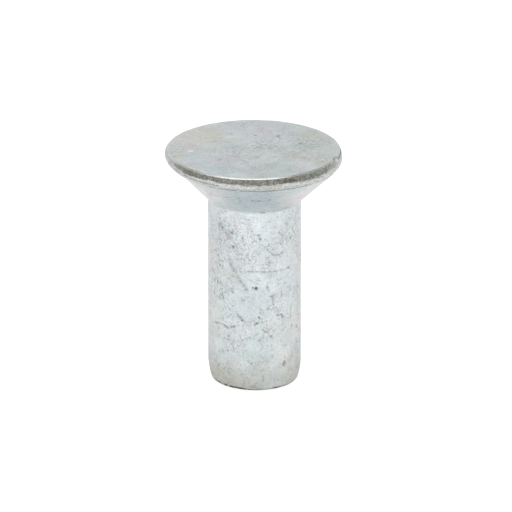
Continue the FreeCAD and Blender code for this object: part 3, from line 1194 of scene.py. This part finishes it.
    def marks(self) -> list[Mark]:
        """All marks: the named ones, the spots, and those scattered round the shank.

        Returns:
            The marks, in a fixed order.
        """
        marks = [Mark(*row) for row in (*FRONT_MARKS.values(), *BACK_MARKS.values())]
        marks += [Mark(*row, on_face=True) for row in FACE_MARKS.values()]
        for spots, depth, stain, on_face in SPOTS:
            for *place, width, strength in spots:
                mark = Mark((tuple(place),), width, depth * width, strength, stain=stain, on_face=on_face)
                marks.append(mark)
        return marks + self.scatter.marks(self.profile.shank_radius)

    def strike(self) -> None:
        """Press the marks in, and store their stains."""
        tree = finder(self.turned)
        depth = np.zeros(len(self.turned))
        stains = {stain: np.zeros_like(depth) for stain in Stain}
        for mark in self.marks():
            reach = mark.width / 2 * self.mark_spread
            stain = stains[mark.stain]
            for place in self.surface.trace(mark):
                swing = self.break_swing * noise.noise(place * self.break_waves) - self.break_loss
                fade = 1 + mark.broken * swing
                if fade <= 0:
                    continue
                for _, index, distance in tree.find_range(place, reach):
                    share = max(0.0, 1 - (distance / reach) ** 2) * fade
                    depth[index] = max(depth[index], mark.depth * share)
                    stain[index] = max(stain[index], min(1.0, mark.strength * share))
        for stain, values in stains.items():
            self.store(stain.value, values)
        self.displace("marks", depth / depth.max(), -depth.max())

    def patch_share(self, ragged: np.ndarray, place: Place, reach: float, on_face: bool) -> np.ndarray:
        """How far a soft ragged patch covers each vertex."""
        centre = np.array(self.surface.place(place, on_face))
        distance = np.linalg.norm(self.turned - centre, axis=1) / reach + ragged
        return 1 - smooth(*PATCH_FADE, distance)

    def tint_and_painted_light(self) -> None:
        """Store the passivated plate's patches of colour, with the painted shade, reflections and sheen of
        the side tints, as a factor on the plate's own colour.
        """
        clean = np.array(linear(self.finish.clean))
        factor = np.ones((len(self.turned), len(clean)))
        ragged = self.tint_ragged * cloud(self.turned, self.tint_waves, octaves=3)
        for patches, on_face in ((FACE_TINTS, True), (SIDE_TINTS, False)):
            for place, reach, colour in patches.values():
                share = self.patch_share(ragged, place, reach, on_face)[:, None]
                factor = factor * (1 - share) + np.array(linear(colour)) / clean * share
        layer = self.piece.data.attributes.new("tint_and_painted_light", "FLOAT_COLOR", "POINT")
        layer.data.foreach_set("color", factor.astype(np.float32).ravel())

    def wear(self) -> None:
        """Store how much each place is scratched and peppered."""
        share = self.wear_mean + self.wear_swing * cloud(self.turned, self.wear_waves, octaves=3)
        ragged = self.wear_ragged * cloud(self.turned, self.wear_border_waves, octaves=2)
        for places, worn, reach, on_face in WEAR_PATCHES:
            for place in places:
                cover = self.patch_share(ragged, place, reach, on_face)
                share = share * (1 - cover) + worn * cover
        self.store("wear", np.clip(share, 0.0, 1.0))

    def build(self) -> Object:
        """Model the piece, and give it to the frame.

        Returns:
            The finished object, in metres.
        """
        self.piece = piece = self.spin()
        select_only(piece)
        self.survey()
        self.store_zones()
        self.tint_and_painted_light()
        self.wear()
        self.strike()
        for relief in RELIEFS:
            self.press_relief(relief)
        moved = self.unevenness.apply(self.coordinates(), self.profile)
        piece.data.vertices.foreach_set("co", moved.ravel())
        piece.data.update()
        piece.scale = (MM, MM, MM)
        bpy.ops.object.transform_apply(location=False, rotation=False, scale=True)
        bpy.ops.object.shade_smooth()
        piece.data.materials.append(self.finish.build())
        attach(piece, "root")
        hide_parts(self.node)
        return piece


@dataclass(frozen=True)
class Studio:
    """Pale floor, overhead softbox, an even room, and the camera."""

    floor_radius: float = 3.0
    floor_sides: int = 128
    floor_gap: float = 0.00001
    floor_colour: str = "#b0b0b0"
    floor_seen: float = 0.86
    floor_mirrored: float = 0.65
    floor_near: tuple[float, float] = (2.0, 18.0)
    floor_near_share: float = 0.80
    floor_back: tuple[float, float] = (-18.0, 16.0)
    floor_back_share: float = 0.72
    softbox_height: float = 2.0
    softbox_lean: float = -6.0
    softbox_size: float = 2.8
    softbox_radiance: float = 0.80
    room_radiance: float = 0.672
    elevation: float = 20.75
    distance: float = 0.70
    millimetre_per_pixel: float = 0.0660
    aim_height: float = 8.48
    axis_column_px: float = 254.03
    frame_px: int = 512
    sensor_width: float = 36.0

    def floor(self) -> None:
        """Lay the floor, white to the camera, and clear from below.

        Reflections see it darker near the rivet, where the head keeps the light off, and behind the rivet.
        """
        bpy.ops.object.select_all(action="DESELECT")
        bpy.ops.mesh.primitive_circle_add(
            vertices=self.floor_sides,
            radius=self.floor_radius,
            fill_type="NGON",
            location=(0, 0, -self.floor_gap),
        )
        floor = bpy.context.object
        floor.name = "studio_floor"
        bpy.ops.object.transform_apply(location=True, rotation=False, scale=False)
        material = bpy.data.materials.new("studio_paper")
        tree = bare_tree(material)
        glossy, clear_ray, seen = (
            add_node(tree, "ShaderNodeLightPath", output=ray)
            for ray in ("Is Glossy Ray", "Is Transmission Ray", "Is Camera Ray")
        )
        place = add_node(tree, "ShaderNodeTexCoord", output="Object")
        away = add_node(tree, "ShaderNodeVectorMath", {0: place}, "Value", operation="LENGTH")
        backward = add_node(tree, "ShaderNodeSeparateXYZ", {0: place}, "Y")
        mirrored = add_node(tree, "ShaderNodeMath", {0: glossy, 1: clear_ray}, operation="MAXIMUM")
        shares: list[object] = [self.floor_mirrored]
        for value, (start, end), low, high in (
            (away, self.floor_near, self.floor_near_share, 1.0),
            (backward, self.floor_back, 1.0, self.floor_back_share),
        ):
            fade = {"From Min": start * MM, "From Max": end * MM, "To Min": low, "To Max": high}
            fade["Value"] = value
            shares.append(add_node(tree, "ShaderNodeMapRange", fade, interpolation_type="SMOOTHSTEP"))
        for share in shares:
            mirrored = add_node(tree, "ShaderNodeMath", {0: mirrored, 1: share}, operation="MULTIPLY")
        seen = add_node(tree, "ShaderNodeMath", {0: seen, 1: self.floor_seen}, operation="MULTIPLY")
        lift = add_node(tree, "ShaderNodeMath", {0: seen, 1: mirrored}, operation="MAXIMUM")
        paper = add_node(tree, "ShaderNodeBsdfDiffuse", {"Color": linear(self.floor_colour)})
        glow = add_node(tree, "ShaderNodeEmission", {"Color": (1, 1, 1, 1), "Strength": lift})
        lit = add_node(tree, "ShaderNodeAddShader", {0: paper, 1: glow})
        clear = add_node(tree, "ShaderNodeBsdfTransparent")
        from_below = add_node(tree, "ShaderNodeNewGeometry", output="Backfacing")
        both = add_node(tree, "ShaderNodeMixShader", {0: from_below, 1: lit, 2: clear})
        add_node(tree, "ShaderNodeOutputMaterial", {"Surface": both})
        floor.data.materials.append(material)

    def softbox(self) -> None:
        """Hang the round softbox over the rivet, leaning a little to the left."""
        lean = math.radians(self.softbox_lean)
        place = Vector((math.sin(lean), 0, math.cos(lean))) * self.softbox_height
        bpy.ops.object.select_all(action="DESELECT")
        bpy.ops.object.light_add(type="AREA", location=place, rotation=(0, lean, 0))
        lamp = bpy.context.object.data
        lamp.shape = "DISK"
        lamp.size = self.softbox_size
        area = math.pi * (self.softbox_size / 2) ** 2
        lamp.energy = self.softbox_radiance * math.pi * area

    def room(self) -> None:
        """Give the room its plain even light."""
        world = bpy.data.worlds.new("studio_room")
        bpy.context.scene.world = world
        tree = bare_tree(world)
        even_light = {"Color": (1, 1, 1, 1), "Strength": self.room_radiance}
        light = add_node(tree, "ShaderNodeBackground", even_light)
        add_node(tree, "ShaderNodeOutputWorld", {"Surface": light})

    def camera(self) -> None:
        """Set the camera where the photograph was taken from."""
        rise = math.radians(self.elevation)
        centre_px = (self.frame_px - 1) / 2
        aim_x = (centre_px - self.axis_column_px) * self.millimetre_per_pixel * MM
        aim = Vector((aim_x, 0, self.aim_height * MM))
        back = Vector((0, -math.cos(rise), math.sin(rise)))
        bpy.ops.object.select_all(action="DESELECT")
        bpy.ops.object.camera_add(location=aim + back * self.distance)
        camera = bpy.context.object
        camera.rotation_mode = "QUATERNION"
        camera.rotation_quaternion = (-back).to_track_quat("-Z", "Y")
        width = self.frame_px * self.millimetre_per_pixel * MM
        camera.data.sensor_width = self.sensor_width
        camera.data.lens = self.sensor_width * self.distance / width
        bpy.context.scene.camera = camera

    def build(self) -> None:
        """Set up the whole studio."""
        self.floor()
        self.softbox()
        self.room()
        self.camera()
        bpy.context.scene.view_settings.view_transform = "Standard"


def packed_profile() -> TurnedProfile:
    """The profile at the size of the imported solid."""
    low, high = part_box("rivet")
    return TurnedProfile(length=(high.z - low.z) / MM, head_radius=(high.x - low.x) / 2 / MM)


def main() -> None:
    """Build the studio and the rivet."""
    logging.basicConfig(level=logging.INFO, format="%(message)s")
    Studio().build()
    piece = Rivet(packed_profile(), Unevenness(), ZincPlate()).build()
    triangles = sum(len(face.vertices) - 2 for face in piece.data.polygons)
    LOG.info("%s: %d triangles", piece.name, triangles)


if __name__ == "__main__":
    main()
